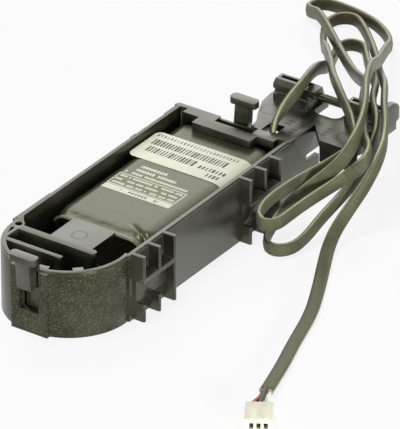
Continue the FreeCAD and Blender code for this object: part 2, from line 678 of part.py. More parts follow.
def connector_housing():
    """The connector's body: a block with two rails on top and a row of cavities in its front."""
    half = PLUG_WIDTH / 2
    block = box(-half, half, 0, PLUG_LENGTH, 0, PLUG_HEIGHT)
    long_edges = [e for e in block.Edges if e.BoundBox.YLength > PLUG_LENGTH / 2]
    block = block.makeFillet(PLUG_EDGE, long_edges)
    rails = []
    for side in (-1, 1):
        x = side * PLUG_PITCH - PLUG_RAIL_WIDTH / 2
        top = PLUG_HEIGHT + PLUG_RAIL_HEIGHT
        rails.append(box(x, x + PLUG_RAIL_WIDTH, PLUG_LENGTH / 3, PLUG_LENGTH, PLUG_HEIGHT - PLUG_EDGE, top))
    cavities = []
    half = PLUG_CAVITY / 2
    low = (PLUG_HEIGHT - PLUG_CAVITY_HEIGHT) / 2
    for index in (-1, 0, 1):
        x = index * PLUG_PITCH
        cavities.append(box(x - half, x + half, PLUG_LENGTH - PLUG_CAVITY_LENGTH, PLUG_LENGTH,
                            low, low + PLUG_CAVITY_HEIGHT))
    return cut(fuse([block] + rails), cavities)


def connector_contacts():
    """Three flat contacts, one lying in each of the connector's cavities."""
    strips = []
    half = PLUG_CAVITY / 2
    low = (PLUG_HEIGHT - PLUG_CAVITY_HEIGHT) / 2
    start = PLUG_LENGTH - PLUG_CAVITY_LENGTH
    for index in (-1, 0, 1):
        x = index * PLUG_PITCH
        strips.append(box(x - half, x + half, start, start + CONTACT_LENGTH, low, low + CONTACT))
    return Part.makeCompound(strips)


def build():
    """Make every piece and write it out."""
    points = lead_points()
    placement = plug_placement(points)
    pieces = {
        "holder_tray": holder_tray(),
        "capacitor_pack": capacitor_pack(),
        "part_label": part_label(),
        "cable_sleeve": cord("cable_sleeve", points, LEAD_RADIUS),
        "connector_housing": connector_housing(),
        "connector_contacts": connector_contacts(),
    }
    for index, colour in enumerate(("white", "black", "red")):
        name = "wire_" + colour
        pieces[name] = cord(name, wire_points(points, index), WIRE_RADIUS)
    for name, shape in pieces.items():
        if name.startswith("connector"):
            shape.Placement = placement
        shape.exportStep("parts/" + name + ".step")


build()
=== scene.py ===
"""Looks of a write cache's backup power pack: a snap-in tray, a film-wrapped pack, a label and a lead."""
import math

import bmesh
import bpy
from mathutils import Matrix, Vector, noise


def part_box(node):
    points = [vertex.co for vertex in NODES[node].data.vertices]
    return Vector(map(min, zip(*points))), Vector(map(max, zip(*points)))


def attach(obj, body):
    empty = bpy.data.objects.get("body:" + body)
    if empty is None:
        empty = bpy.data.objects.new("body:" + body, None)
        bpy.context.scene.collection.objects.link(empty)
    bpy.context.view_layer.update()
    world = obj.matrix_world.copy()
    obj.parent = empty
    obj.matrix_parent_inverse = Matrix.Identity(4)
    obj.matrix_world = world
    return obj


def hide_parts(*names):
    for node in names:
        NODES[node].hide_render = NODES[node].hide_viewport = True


bl_info = {
    "name": "Write cache power pack",
    "version": (1, 0, 0),
    "blender": (4, 5, 0),
    "location": "View3D > Sidebar > Power Pack",
    "description": "Dresses the tray, pack, label, lead and connector of a write cache's power pack",
    "category": "Object",
}

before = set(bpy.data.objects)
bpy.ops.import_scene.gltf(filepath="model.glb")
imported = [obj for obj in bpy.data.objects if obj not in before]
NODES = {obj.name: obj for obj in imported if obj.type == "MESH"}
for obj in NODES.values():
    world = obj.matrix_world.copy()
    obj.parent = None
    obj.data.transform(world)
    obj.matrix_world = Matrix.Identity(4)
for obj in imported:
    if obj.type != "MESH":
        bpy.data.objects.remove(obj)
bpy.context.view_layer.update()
BODY = "root"
MM = 0.001

# The corner of the rear arm that the lead's route is measured from
TRAY_LOW, TRAY_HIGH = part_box("holder_tray")
CHEEK_TO_ARM_FRONT = 23.5
ARM_CORNER = Vector((TRAY_HIGH.x, TRAY_HIGH.y - CHEEK_TO_ARM_FRONT * MM, 0))
PACK_LOW, PACK_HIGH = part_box("capacitor_pack")
PACK_CORNER = 5.6
LABEL_LOW, LABEL_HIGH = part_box("part_label")

# Heights of the lead's middle: standing on edge on the floor, lying flat, over a boss, and over another turn
EDGE = 2.3
FLAT = 1.15
OVER = 31.2
UPPER = 35.8

# The lead out of the port: x, y from the pack's rear, z, and how far it stands on edge
LEAD_EXIT = [
    (11.3, 0.0, 9.0, 0.0), (11.3, 3.6, 9.0, 0.0), (11.3, 6.0, 11.4, 0.0), (11.3, 6.3, 17.0, 0.0),
]
# The rest of the route: x and y from the arm's corner, z, and how far it stands on edge
LEFT_BOSS_TO_ARCH = [
    (-27.1, -2.0, 22.4, 0.6), (-26.2, 3.4, 26.8, 1.0), (-24.9, 10.1, 31.1, 1.0), (-26.8, 17.8, 31.1, 1.0),
    (-34.2, 32.4, 23.6, 1.0), (-43.4, 50.0, 12.9, 1.0), (-50.8, 64.0, 5.4, 1.0), (-55.6, 73.0, EDGE, 1.0),
    (-58.0, 78.6, EDGE, 1.0), (-56.2, 83.0, EDGE, 1.0), (-51.4, 83.2, EDGE, 1.0), (-47.6, 78.2, 3.6, 1.0),
]
RIGHT_BOSS_TO_LOW_LOOP = [
    (-40.0, 67.5, 7.8, 1.0), (-26.4, 49.0, 16.3, 1.0), (-13.4, 31.0, 25.5, 1.0), (-6.5, 20.7, OVER, 1.0),
    (-2.7, 12.8, OVER, 1.0), (3.6, 6.5, 29.4, 1.0), (4.0, 3.3, 21.3, 1.0), (3.2, -2.0, 15.1, 1.0),
    (1.2, -9.3, 10.2, 1.0), (-0.3, -16.5, 6.7, 1.0), (-1.0, -23.0, 3.4, 1.0), (-1.6, -29.2, EDGE, 1.0),
    (-4.8, -33.2, EDGE, 1.0), (-9.2, -32.2, EDGE, 1.0), (-12.0, -26.6, 2.7, 1.0), (-11.2, -20.6, 7.4, 1.0),
]
OUTER_TOP_LOOP = [
    (-9.2, -15.2, 10.6, 1.0), (-4.6, -10.8, 15.4, 1.0), (1.5, -6.5, 22.4, 1.0), (3.4, -2.1, 32.0, 1.0),
    (-0.2, 5.8, 34.8, 1.0), (-5.0, 13.0, UPPER, 1.0), (-9.0, 21.0, UPPER, 1.0), (-15.2, 32.0, 30.6, 1.0),
    (-26.1, 52.0, 19.0, 1.0), (-39.1, 76.0, 8.5, 1.0), (-46.1, 90.0, EDGE, 1.0), (-54.1, 96.5, EDGE, 1.0),
    (-63.1, 99.5, EDGE, 1.0), (-72.4, 100.5, EDGE, 1.0), (-77.2, 99.9, EDGE, 1.0), (-79.4, 96.4, EDGE, 1.0),
    (-78.4, 92.8, 2.8, 1.0),
]
RIGHT_BOSS_TO_HIGH_LOOP = [
    (-74.8, 90.1, 4.2, 1.0), (-69.4, 85.7, 7.2, 1.0), (-60.1, 77.5, 7.6, 1.0), (-46.6, 65.0, 8.2, 1.0),
    (-32.6, 49.0, 14.5, 1.0), (-18.1, 30.5, 25.4, 1.0), (-9.8, 21.0, OVER, 1.0), (-6.3, 13.0, OVER, 1.0),
    (-0.4, 5.6, 29.2, 1.0), (3.1, 0.4, 26.5, 1.0), (6.3, -1.8, 24.9, 1.0), (6.4, -5.1, 21.2, 1.0),
    (2.3, -6.6, 17.0, 1.0), (-1.7, -12.4, 13.6, 1.0), (-3.6, -19.6, 12.2, 1.0), (-4.4, -26.0, 11.4, 1.0),
    (-5.6, -31.4, 10.0, 1.0), (-8.6, -34.2, 10.0, 1.0), (-11.6, -32.6, 11.4, 1.0), (-12.0, -27.6, 13.4, 1.0),
]
INNER_TOP_LOOP = [
    (-10.8, -18.4, 14.6, 1.0), (-9.6, -10.0, 14.8, 1.0), (-6.0, -3.9, 16.7, 1.0), (0.8, -0.4, 22.8, 1.0),
    (-4.2, 5.3, 27.4, 1.0), (-11.2, 10.1, 30.8, 1.0), (-16.2, 15.0, 31.2, 1.0), (-21.6, 21.0, 29.6, 1.0),
    (-29.6, 32.0, 26.5, 1.0), (-44.0, 51.0, 18.8, 1.0), (-54.6, 66.5, 8.4, 1.0), (-62.1, 77.1, 2.6, 1.0),
    (-67.3, 84.5, EDGE, 1.0), (-69.2, 90.2, EDGE, 1.0), (-68.0, 95.0, EDGE, 1.0), (-64.0, 97.0, EDGE, 1.0),
    (-59.4, 94.4, EDGE, 1.0), (-49.6, 85.0, EDGE, 1.0),
]
RIGHT_BOSS_TO_FLOOR = [
    (-41.0, 74.5, 4.4, 1.0), (-26.0, 53.5, 13.2, 1.0), (-10.8, 32.0, 25.6, 1.0), (-3.3, 20.6, OVER, 1.0),
    (1.6, 12.6, OVER, 1.0), (7.6, 4.6, 29.6, 1.0), (8.6, 1.2, 22.8, 1.0), (7.2, -4.2, 15.0, 0.9),
    (5.4, -9.8, 9.2, 0.8), (4.8, -16.5, 4.9, 0.6), (6.4, -23.0, 2.4, 0.4), (10.4, -31.2, 1.6, 0.15),
    (16.4, -43.0, FLAT, 0.0), (22.4, -55.7, FLAT, 0.0), (27.4, -72.1, FLAT, 0.0), (32.3, -85.6, 1.5, 0.0),
    (36.0, -98.3, 1.8, 0.0),
]
LEAD_COIL = (LEFT_BOSS_TO_ARCH + RIGHT_BOSS_TO_LOW_LOOP + OUTER_TOP_LOOP + RIGHT_BOSS_TO_HIGH_LOOP
             + INNER_TOP_LOOP + RIGHT_BOSS_TO_FLOOR)

# Rings of the film from inside its mouth, out over the lip and the pinched neck, to the full section:
# y from the lip, then insets at the left, right, top and bottom, the corner's radius, and the share of
# painted highlight on the lip
FILM_RINGS = [
    (1.5, 4.0, 4.0, 2.6, 2.4, 3.0, 0.0), (-0.3, 3.3, 3.7, 1.6, 1.6, 3.3, 0.0),
    (-1.5, 2.5, 2.5, 1.15, 1.0, 4.1, 0.4), (-1.9, 2.0, 2.1, 0.8, 0.7, 4.5, 0.9),
    (-1.7, 1.6, 1.9, 0.5, 0.6, 4.6, 0.5), (-1.1, 1.5, 2.1, 0.36, 0.8, 4.4, 0.1),
    (0.0, 1.9, 2.5, 0.5, 1.0, 4.2, 0.0), (1.0, 1.7, 2.3, 0.34, 0.7, 4.6, 0.0),
    (2.2, 0.9, 1.2, 0.08, 0.3, 5.2, 0.0), (3.8, 0.4, 0.5, 0.0, 0.05, 5.5, 0.0),
    (5.4, 0.05, 0.05, 0.0, 0.0, 5.6, 0.0), (8.0, 0.0, 0.0, 0.0, 0.0, 5.6, 0.0),
]
FILM_STEPS = 5
FILM_RING_GAP = 2.5
FILM_END_ROUND = 2.2
# Rings that show the cells inside the mouth, and the first ring that the fold reaches
CELL_RINGS = 4
FIRST_FOLDED_RING = 15

# Blocks in millimetres: the middle across and along, the width and length, a letter's width, the share of
# letters left out, and whether the block is added to those before it or cut out of them
SOLID = 1000.0
ARM_STAMPS = [
    (90.6, 13.4, 12.6, 1.9, 1.7, 0.12, 1), (90.2, 16.9, 11.6, 1.9, 1.7, 0.0, 1),
    (92.8, 25.4, 6.2, 1.9, 1.9, 0.0, 1),
]
PACK_PRINT = [
    (-1.3, 35.05, 23.6, 2.5, SOLID, 0.0, 1), (-0.6, 35.05, 13.0, 1.0, 1.1, 0.25, -1),
    (-1.3, 40.1, 23.6, 7.0, SOLID, 0.0, 1), (-1.3, 40.1, 22.9, 6.3, SOLID, 0.0, -1),
    (-1.2, 38.0, 21.8, 1.0, 0.62, 0.2, 1), (-1.6, 40.1, 21.4, 1.0, 0.62, 0.2, 1),
    (-1.2, 42.2, 21.8, 1.0, 0.62, 0.2, 1), (-1.4, 44.9, 21.4, 1.1, 0.75, 0.14, 1),
    (-3.0, 47.2, 13.6, 1.3, 0.95, 0.12, 1), (-5.0, 49.5, 9.4, 1.3, 0.95, 0.12, 1),
]
# Marks of ejector pins on the arm and the tongue: x, y and radius
EJECTOR_MARKS = [(4.4, 95.0, 3.0), (32.0, 93.6, 3.0), (-0.4, 5.6, 2.2)]
# Rows of bars on the label: left end, y from its middle, count, pitch, length, thinnest and widest bar
LABEL_ROWS = [
    (-16.0, 6.0, 25, 1.15, 1.3, 0.2, 0.5), (-15.0, 2.2, 26, 1.0, 3.2, 0.25, 0.75),
    (-14.1, -2.1, 17, 1.0, 3.2, 0.25, 0.75), (4.4, -2.7, 8, 1.2, 1.8, 0.4, 0.8),
    (8.8, -5.6, 4, 1.2, 1.8, 0.4, 0.8),
]
INK_LIFT = 0.03 * MM
WIRE_COLOURS = {
    "white": (0.8, 0.79, 0.66, 1), "black": (0.02, 0.02, 0.015, 1), "red": (0.55, 0.02, 0.012, 1),
}
# Lamps: name, place, width, height and watts
LAMPS = [
    ("back_panel", (-0.7, 1.1, 0.8), 2.2, 1.2, 14.0), ("over_box", (-0.25, -0.15, 1.4), 0.5, 0.5, 9.0),
    ("right_box", (0.85, -0.37, 0.12), 0.2, 0.16, 8.0), ("front_box", (0.01, -0.85, 0.12), 0.08, 0.16, 2.6),
]
LAMP_TARGET = Vector((0.01, 0.04, 0.01))

# Angles between faces: taken as flat, softened with a bevel, and shown as a sharp edge
FLAT_ANGLE = math.radians(0.5)
BEVEL_ANGLE = math.radians(35)
SHARP_ANGLE = math.radians(38)

# Points round the sleeve, points either way that a bend is measured over, and the radius that puckers it
SECTION_POINTS = 24
BEND_REACH = 4
PUCKER_RADIUS = 7 * MM


class TrayLook(bpy.types.PropertyGroup):
    """Sizes and colours of the moulded tray."""

    edge_round: bpy.props.FloatProperty(
        name="Edge round", description="Radius of the moulding's softened edges", default=0.2 * MM,
        unit="LENGTH")
    head_round: bpy.props.FloatProperty(
        name="Head round", description="Radius of the edges of the latches' finger heads", default=0.65 * MM,
        unit="LENGTH")
    plastic: bpy.props.FloatVectorProperty(
        name="Plastic", description="Colour of the black moulding", subtype="COLOR", size=4,
        default=(0.0105, 0.0107, 0.0075, 1))
    grain: bpy.props.FloatProperty(
        name="Grain", description="Size of the spark-eroded grain", default=0.45 * MM, unit="LENGTH")


class PackLook(bpy.types.PropertyGroup):
    """Sizes and colours of the film-wrapped pack."""

    film: bpy.props.FloatVectorProperty(
        name="Film", description="Colour of the shrunk film", subtype="COLOR", size=4,
        default=(0.03, 0.0296, 0.017, 1))
    cell: bpy.props.FloatVectorProperty(
        name="Cell end", description="Colour of the cells inside the film's mouth", subtype="COLOR", size=4,
        default=(0.16, 0.14, 0.1, 1))
    print_white: bpy.props.FloatVectorProperty(
        name="Print", description="Colour of the printed block", subtype="COLOR", size=4,
        default=(0.82, 0.81, 0.68, 1))
    wrinkle: bpy.props.FloatProperty(
        name="Wrinkle", description="Height of the film's wrinkles at its mouth", default=0.2 * MM,
        unit="LENGTH")


class LabelLook(bpy.types.PropertyGroup):
    """Colours of the paper label."""

    paper: bpy.props.FloatVectorProperty(
        name="Paper", description="Colour of the paper", subtype="COLOR", size=4,
        default=(0.9, 0.88, 0.72, 1))
    ink: bpy.props.FloatVectorProperty(
        name="Ink", description="Colour of the printed bars", subtype="COLOR", size=4,
        default=(0.05, 0.05, 0.04, 1))
    bar_seed: bpy.props.IntProperty(name="Bar seed", description="Seed of the bars' widths", default=4)


class LeadLook(bpy.types.PropertyGroup):
    """Sizes and colours of the flat lead."""

    width: bpy.props.FloatProperty(
        name="Width", description="Width of the flat sleeve", default=4.1 * MM, unit="LENGTH")
    thickness: bpy.props.FloatProperty(
        name="Thickness", description="Thickness of the flat sleeve", default=2.0 * MM, unit="LENGTH")
    sleeve: bpy.props.FloatVectorProperty(
        name="Sleeve", description="Colour of the sleeve", subtype="COLOR", size=4,
        default=(0.06, 0.0585, 0.034, 1))
    # Painted highlight: the pale colour laid along both edges of the flat sleeve.
    edge_highlight: bpy.props.FloatVectorProperty(
        name="Painted edge highlight", description="Colour of the sleeve's paler edges", subtype="COLOR", size=4,
        default=(0.46, 0.45, 0.31, 1))


class StageLook(bpy.types.PropertyGroup):
    """Floor, lamps and camera."""

    floor: bpy.props.FloatVectorProperty(
        name="Floor", description="Colour of the floor", subtype="COLOR", size=4, default=(0.9, 0.9, 0.9, 1))
    azimuth: bpy.props.FloatProperty(
        name="Azimuth", description="How far the camera stands to the right", default=math.radians(34.65),
        subtype="ANGLE")
    elevation: bpy.props.FloatProperty(
        name="Elevation", description="How far the camera stands above the floor",
        default=math.radians(29.83), subtype="ANGLE")
    distance: bpy.props.FloatProperty(
        name="Distance", description="From the camera to the framed point", default=1.972, unit="LENGTH")


def node(tree, kind, settings=None, inputs=None):
    """A new node with its settings, and with its inputs linked or set."""
    made = tree.nodes.new(kind)
    for key, value in (settings or {}).items():
        setattr(made, key, value)
    feed(tree, made, inputs or {})
    return made


def feed(tree, made, inputs):
    """Links or sets a node's inputs."""
    for key, value in inputs.items():
        if isinstance(value, bpy.types.NodeSocket):
            tree.links.new(value, made.inputs[key])
        else:
            made.inputs[key].default_value = value


def math_node(tree, operation, first, second=0.0, clamp=False):
    """The output of a math node."""
    settings = {"operation": operation, "use_clamp": clamp}
    return node(tree, "ShaderNodeMath", settings, {0: first, 1: second}).outputs[0]


def ramp(tree, value, low, high, top=1.0):
    """A value turned into a share that grows from nothing at low to top at high."""
    made = node(tree, "ShaderNodeMapRange", None, {
        "Value": value, "From Min": low, "From Max": high, "To Min": 0.0, "To Max": top})
    return made.outputs["Result"]


def mix_colour(tree, factor, first, second):
    """The output of a colour mix."""
    made = node(tree, "ShaderNodeMix", {"data_type": "RGBA", "clamp_factor": True})
    feed(tree, made, {0: factor, 6: first, 7: second})
    return made.outputs[2]


def split_axes(tree, vector):
    """The X, Y and Z of a vector."""
    made = node(tree, "ShaderNodeSeparateXYZ", None, {"Vector": vector})
    return [made.outputs[axis] for axis in "XYZ"]


def new_group(name, kind_of_tree, inputs, outputs):
    """An empty node group with named sockets."""
    tree = bpy.data.node_groups.new(name, kind_of_tree)
    for label, kind, value in inputs:
        socket = tree.interface.new_socket(label, in_out="INPUT", socket_type="NodeSocket" + kind)
        if value is not None:
            socket.default_value = value
    for label, kind in outputs:
        tree.interface.new_socket(label, in_out="OUTPUT", socket_type="NodeSocket" + kind)
    return tree


def shader_group(name, build, inputs, outputs):
    """A shader node group, filled by a function the first time it is asked for."""
    found = bpy.data.node_groups.get(name)
    if found:
        return found
    tree = new_group(name, "ShaderNodeTree", inputs, outputs)
    build(tree, tree.nodes.new("NodeGroupInput").outputs, tree.nodes.new("NodeGroupOutput").inputs)
    return tree


def fill_grain(tree, given, result):
    """Fine moulded grain: a height for bump and a mask of the brightest grains."""
    fine = node(tree, "ShaderNodeTexNoise", None, {
        "Vector": given["Vector"], "Scale": given["Grain"], "Detail": 2.0, "Roughness": 0.6})
    pits = node(tree, "ShaderNodeTexVoronoi", {"feature": "F1"}, {
        "Vector": given["Vector"], "Scale": given["Grain"]})
    dented = math_node(tree, "MULTIPLY", pits.outputs["Distance"], 0.6)
    tree.links.new(math_node(tree, "ADD", fine.outputs["Fac"], dented), result["Height"])
    tree.links.new(ramp(tree, fine.outputs["Fac"], 0.5, 0.72), result["Speckle"])


def grain_group():
    """The moulded grain, for any surface that was moulded or coated."""
    return shader_group(
        "moulded_grain", fill_grain, [("Vector", "Vector", None), ("Grain", "Float", 2500.0)],
        [("Height", "Float"), ("Speckle", "Float")])


def fill_handling(tree, given, result):
    """Faint dust and rubbed patches: a colour and a value to add to roughness."""
    broad = node(tree, "ShaderNodeTexNoise", None, {
        "Vector": given["Vector"], "Scale": 90.0, "Detail": 5.0, "Roughness": 0.65})
    strength = math_node(tree, "MULTIPLY", ramp(tree, broad.outputs["Fac"], 0.42, 0.72), given["Amount"])
    tree.links.new(mix_colour(tree, strength, given["Colour"], given["Dust"]), result["Colour"])
    tree.links.new(math_node(tree, "MULTIPLY", strength, 0.8), result["Rough"])


def handling_group():
    """The marks that handling leaves on every surface."""
    return shader_group(
        "handling_marks", fill_handling,
        [("Vector", "Vector", None), ("Colour", "Color", None), ("Dust", "Color", (0.3, 0.29, 0.22, 1)),
         ("Amount", "Float", 0.1)],
        [("Colour", "Color"), ("Rough", "Float")])


def fill_block(tree, given, result):
    """A rectangle's mask in millimetres, cut into letter-sized pieces with some left out."""
    axes = split_axes(tree, given["Vector"])
    masks = []
    for axis, name, size in ((axes[0], "X", "Width"), (axes[1], "Y", "Length")):
        millimetres = math_node(tree, "MULTIPLY", axis, 1000.0)
        offset = math_node(tree, "SUBTRACT", millimetres, given["Middle " + name])
        half = math_node(tree, "MULTIPLY", given[size], 0.5)
        masks.append(math_node(tree, "LESS_THAN", math_node(tree, "ABSOLUTE", offset), half))
        if name == "X":
            place = math_node(tree, "ADD", math_node(tree, "DIVIDE", offset, given["Letter"]), 0.36)
    masks.append(math_node(tree, "LESS_THAN", math_node(tree, "FRACT", place), 0.72))
    count = math_node(tree, "ADD", math_node(tree, "FLOOR", place), given["Middle Y"])
    draw = node(tree, "ShaderNodeTexWhiteNoise", {"noise_dimensions": "1D"}, {"W": count})
    masks.append(math_node(tree, "GREATER_THAN", draw.outputs["Value"], given["Gaps"]))
    mask = masks[0]
    for other in masks[1:]:
        mask = math_node(tree, "MULTIPLY", mask, other)
    tree.links.new(mask, result["Mask"])


def block_group():
    """A printed or moulded block: solid, or a row of plain pieces."""
    return shader_group(
        "printed_block", fill_block,
        [("Vector", "Vector", None), ("Middle X", "Float", 0.0), ("Middle Y", "Float", 0.0),
         ("Width", "Float", 1.0), ("Length", "Float", 1.0), ("Letter", "Float", SOLID),
         ("Gaps", "Float", 0.0)],
        [("Mask", "Float")])


def fill_ejector(tree, given, result):
    """A thin raised ring round a point, in millimetres."""
    axes = split_axes(tree, given["Vector"])
    squares = []
    for axis, name in ((axes[0], "X"), (axes[1], "Y")):
        millimetres = math_node(tree, "MULTIPLY", axis, 1000.0)
        offset = math_node(tree, "SUBTRACT", millimetres, given["Middle " + name])
        squares.append(math_node(tree, "MULTIPLY", offset, offset))
    away = math_node(tree, "SQRT", math_node(tree, "ADD", squares[0], squares[1]))
    line = math_node(tree, "ABSOLUTE", math_node(tree, "SUBTRACT", away, given["Radius"]))
    tree.links.new(ramp(tree, line, 0.28, 0.08), result["Height"])


def ejector_group():
    """The mark of a mould's ejector pin."""
    return shader_group(
        "ejector_mark", fill_ejector,
        [("Vector", "Vector", None), ("Middle X", "Float", 0.0), ("Middle Y", "Float", 0.0),
         ("Radius", "Float", 2.0)],
        [("Height", "Float")])


def group_node(tree, group, inputs):
    """A placed node group."""
    made = node(tree, "ShaderNodeGroup", {"node_tree": group})
    feed(tree, made, inputs)
    return made.outputs


def block_mask(tree, place, blocks):
    """One mask from blocks, each added to or taken out of those before it."""
    mask = None
    for x, y, width, length, letter, gaps, sign in blocks:
        block = group_node(tree, block_group(), {
            "Vector": place, "Middle X": x, "Middle Y": y, "Width": width, "Length": length, "Letter": letter,
            "Gaps": gaps})["Mask"]
        if mask is None:
            mask = block
        else:
            mask = math_node(tree, "ADD" if sign > 0 else "SUBTRACT", mask, block, clamp=True)
    return mask


def new_material(name, colour):
    """A material, its tree, its shader and its object coordinates."""
    made = bpy.data.materials.new(name)
    made.use_nodes = True
    made.diffuse_color = colour
    tree = made.node_tree
    place = node(tree, "ShaderNodeTexCoord").outputs["Object"]
    return made, tree, tree.nodes["Principled BSDF"], place


def background_rays(tree):
    """Whether a ray comes from the camera, or from glossy or clear surfaces."""
    path = node(tree, "ShaderNodeLightPath")
    seen = math_node(tree, "MAXIMUM", path.outputs["Is Camera Ray"], path.outputs["Is Glossy Ray"])
    return math_node(tree, "MAXIMUM", seen, path.outputs["Is Transmission Ray"])


def add_bump(tree, shader, height, strength, distance):
    """Feeds a height into the shader's normal."""
    bump = node(tree, "ShaderNodeBump", None, {"Height": height, "Strength": strength, "Distance": distance})
    tree.links.new(bump.outputs["Normal"], shader.inputs["Normal"])


def nose_skin(tree, place):
    """A mask of the nose's outer skin, without the latch."""
    skin_radius, latch_face = 18.7 * MM, -20.05 * MM
    nose_end, nose_fade = 2.2 * MM, 0.8 * MM
    rim_top, rim_fade = 20.7 * MM, 20.3 * MM
    x, y, z = split_axes(tree, place)
    flat = node(tree, "ShaderNodeCombineXYZ", None, {"X": x, "Y": y})
    length = node(tree, "ShaderNodeVectorMath", {"operation": "LENGTH"}, {0: flat.outputs["Vector"]})
    radius = length.outputs["Value"]
    normal = node(tree, "ShaderNodeNewGeometry").outputs["Normal"]
    slope = math_node(tree, "ABSOLUTE", split_axes(tree, normal)[2])
    mask = math_node(tree, "GREATER_THAN", radius, skin_radius)
    for part in (ramp(tree, y, nose_end, nose_fade), math_node(tree, "GREATER_THAN", y, latch_face),
                 math_node(tree, "LESS_THAN", slope, 0.5), ramp(tree, z, rim_top, rim_fade)):
        mask = math_node(tree, "MULTIPLY", mask, part)
    return mask


def tray_plastic(look):
    """Black moulded plastic: satin, and coarse with painted glints on the nose's skin, with the mould's
    marks.
    """
    made, tree, shader, place = new_material("tray_plastic", look.plastic)
    marks = group_node(tree, handling_group(), {"Vector": place, "Colour": look.plastic, "Amount": 0.1})
    grain = group_node(tree, grain_group(), {"Vector": place, "Grain": 0.9 / look.grain})
    coarse = nose_skin(tree, place)
    # Painted glints: the brightest grains on the nose's skin, to be mixed into the base colour.
    painted_glints = math_node(tree, "MULTIPLY", grain["Speckle"], math_node(tree, "MULTIPLY", coarse, 0.11))
    x, y = split_axes(tree, place)[:2]
    turned = node(tree, "ShaderNodeCombineXYZ", None, {"X": y, "Y": x}).outputs["Vector"]
    normal = node(tree, "ShaderNodeNewGeometry").outputs["Normal"]
    upward = math_node(tree, "GREATER_THAN", split_axes(tree, normal)[2], 0.6)
    stamped = math_node(tree, "MULTIPLY", block_mask(tree, turned, ARM_STAMPS), upward)
    # Painted glints in a pale grey, mixed into the base colour.
    colour = mix_colour(tree, painted_glints, marks["Colour"], (0.62, 0.62, 0.5, 1))
    colour = mix_colour(tree, math_node(tree, "MULTIPLY", stamped, 0.9), colour, (0.004, 0.006, 0.004, 1))
    tree.links.new(colour, shader.inputs["Base Color"])
    rough = math_node(tree, "ADD", marks["Rough"], 0.33)
    rough = math_node(tree, "SUBTRACT", rough, math_node(tree, "MULTIPLY", coarse, 0.12))
    rough = math_node(tree, "ADD", rough, math_node(tree, "MULTIPLY", stamped, 0.4))
    tree.links.new(rough, shader.inputs["Roughness"])
    shader.inputs["Specular IOR Level"].default_value = 0.35
    shader.inputs["Specular Tint"].default_value = (1, 1, 0.5, 1)
    tree.links.new(ramp(tree, coarse, 1.0, 0.0, 0.6), shader.inputs["Coat Weight"])
    shader.inputs["Coat Roughness"].default_value = 0.3
    depth = math_node(tree, "ADD", math_node(tree, "MULTIPLY", coarse, 0.1), 0.04)
    height = math_node(tree, "MULTIPLY", grain["Height"], depth)
    for x_mark, y_mark, radius in EJECTOR_MARKS:
        ring = group_node(tree, ejector_group(), {
            "Vector": place, "Middle X": x_mark, "Middle Y": y_mark, "Radius": radius})["Height"]
        height = math_node(tree, "ADD", height, math_node(tree, "MULTIPLY", ring, upward))
    add_bump(tree, shader, height, 1.0, 0.5 * MM)
    return made


def pack_film(look):
    """Shrunk film: glossy, faintly rippled, with a painted highlight along the lip of its mouth, and a print
    of plain fields and rows.
    """
    made, tree, shader, place = new_material("pack_film", look.film)
    marks = group_node(tree, handling_group(), {"Vector": place, "Colour": look.film, "Amount": 0.08})
    above = ramp(tree, split_axes(tree, place)[2], 11.9 * MM, 12 * MM)
    mask = math_node(tree, "MULTIPLY", block_mask(tree, place, PACK_PRINT), above)
    worn = node(tree, "ShaderNodeTexNoise", None, {"Vector": place, "Scale": 1200.0, "Detail": 2.0})
    kept = math_node(tree, "ADD", ramp(tree, worn.outputs["Fac"], 0.3, 0.42, 0.3), 0.7)
    inked = math_node(tree, "MULTIPLY", mask, kept)
    painted_lip_highlight = node(tree, "ShaderNodeAttribute", {"attribute_name": "painted_lip_highlight"}).outputs["Fac"]
    inner = node(tree, "ShaderNodeAttribute", {"attribute_name": "inner"}).outputs["Fac"]
    colour = mix_colour(tree, inked, marks["Colour"], look.print_white)
    # Painted highlight: the lip of the mouth is mixed towards a pale colour.
    colour = mix_colour(tree, math_node(tree, "MULTIPLY", painted_lip_highlight, 0.6), colour, (0.5, 0.48, 0.34, 1))
    tree.links.new(mix_colour(tree, inner, colour, look.cell), shader.inputs["Base Color"])
    rough = math_node(tree, "ADD", marks["Rough"], math_node(tree, "MULTIPLY", inked, 0.2))
    tree.links.new(math_node(tree, "ADD", rough, 0.26), shader.inputs["Roughness"])
    shader.inputs["Specular IOR Level"].default_value = 0.6
    shader.inputs["Specular Tint"].default_value = (1, 1, 0.6, 1)
    ripple = node(tree, "ShaderNodeTexNoise", None, {"Vector": place, "Scale": 90.0, "Detail": 3.0})
    add_bump(tree, shader, ripple.outputs["Fac"], 0.25, 0.5 * MM)
    return made


def label_paper(look):
    """Coated paper with a faint tooth."""
    made, tree, shader, place = new_material("label_paper", look.paper)
    marks = group_node(tree, handling_group(), {
        "Vector": place, "Colour": look.paper, "Dust": (0.74, 0.71, 0.53, 1), "Amount": 0.35})
    tree.links.new(marks["Colour"], shader.inputs["Base Color"])
    shader.inputs["Roughness"].default_value = 0.55
    grain = group_node(tree, grain_group(), {"Vector": place, "Grain": 4000.0})
    add_bump(tree, shader, grain["Height"], 0.2, 0.03 * MM)
    return made


def label_ink(look):
    """Thermal print, slightly uneven."""
    made, tree, shader, place = new_material("label_ink", look.ink)
    marks = group_node(tree, handling_group(), {"Vector": place, "Colour": look.ink, "Amount": 0.2})
    tree.links.new(marks["Colour"], shader.inputs["Base Color"])
    shader.inputs["Roughness"].default_value = 0.6
    return made


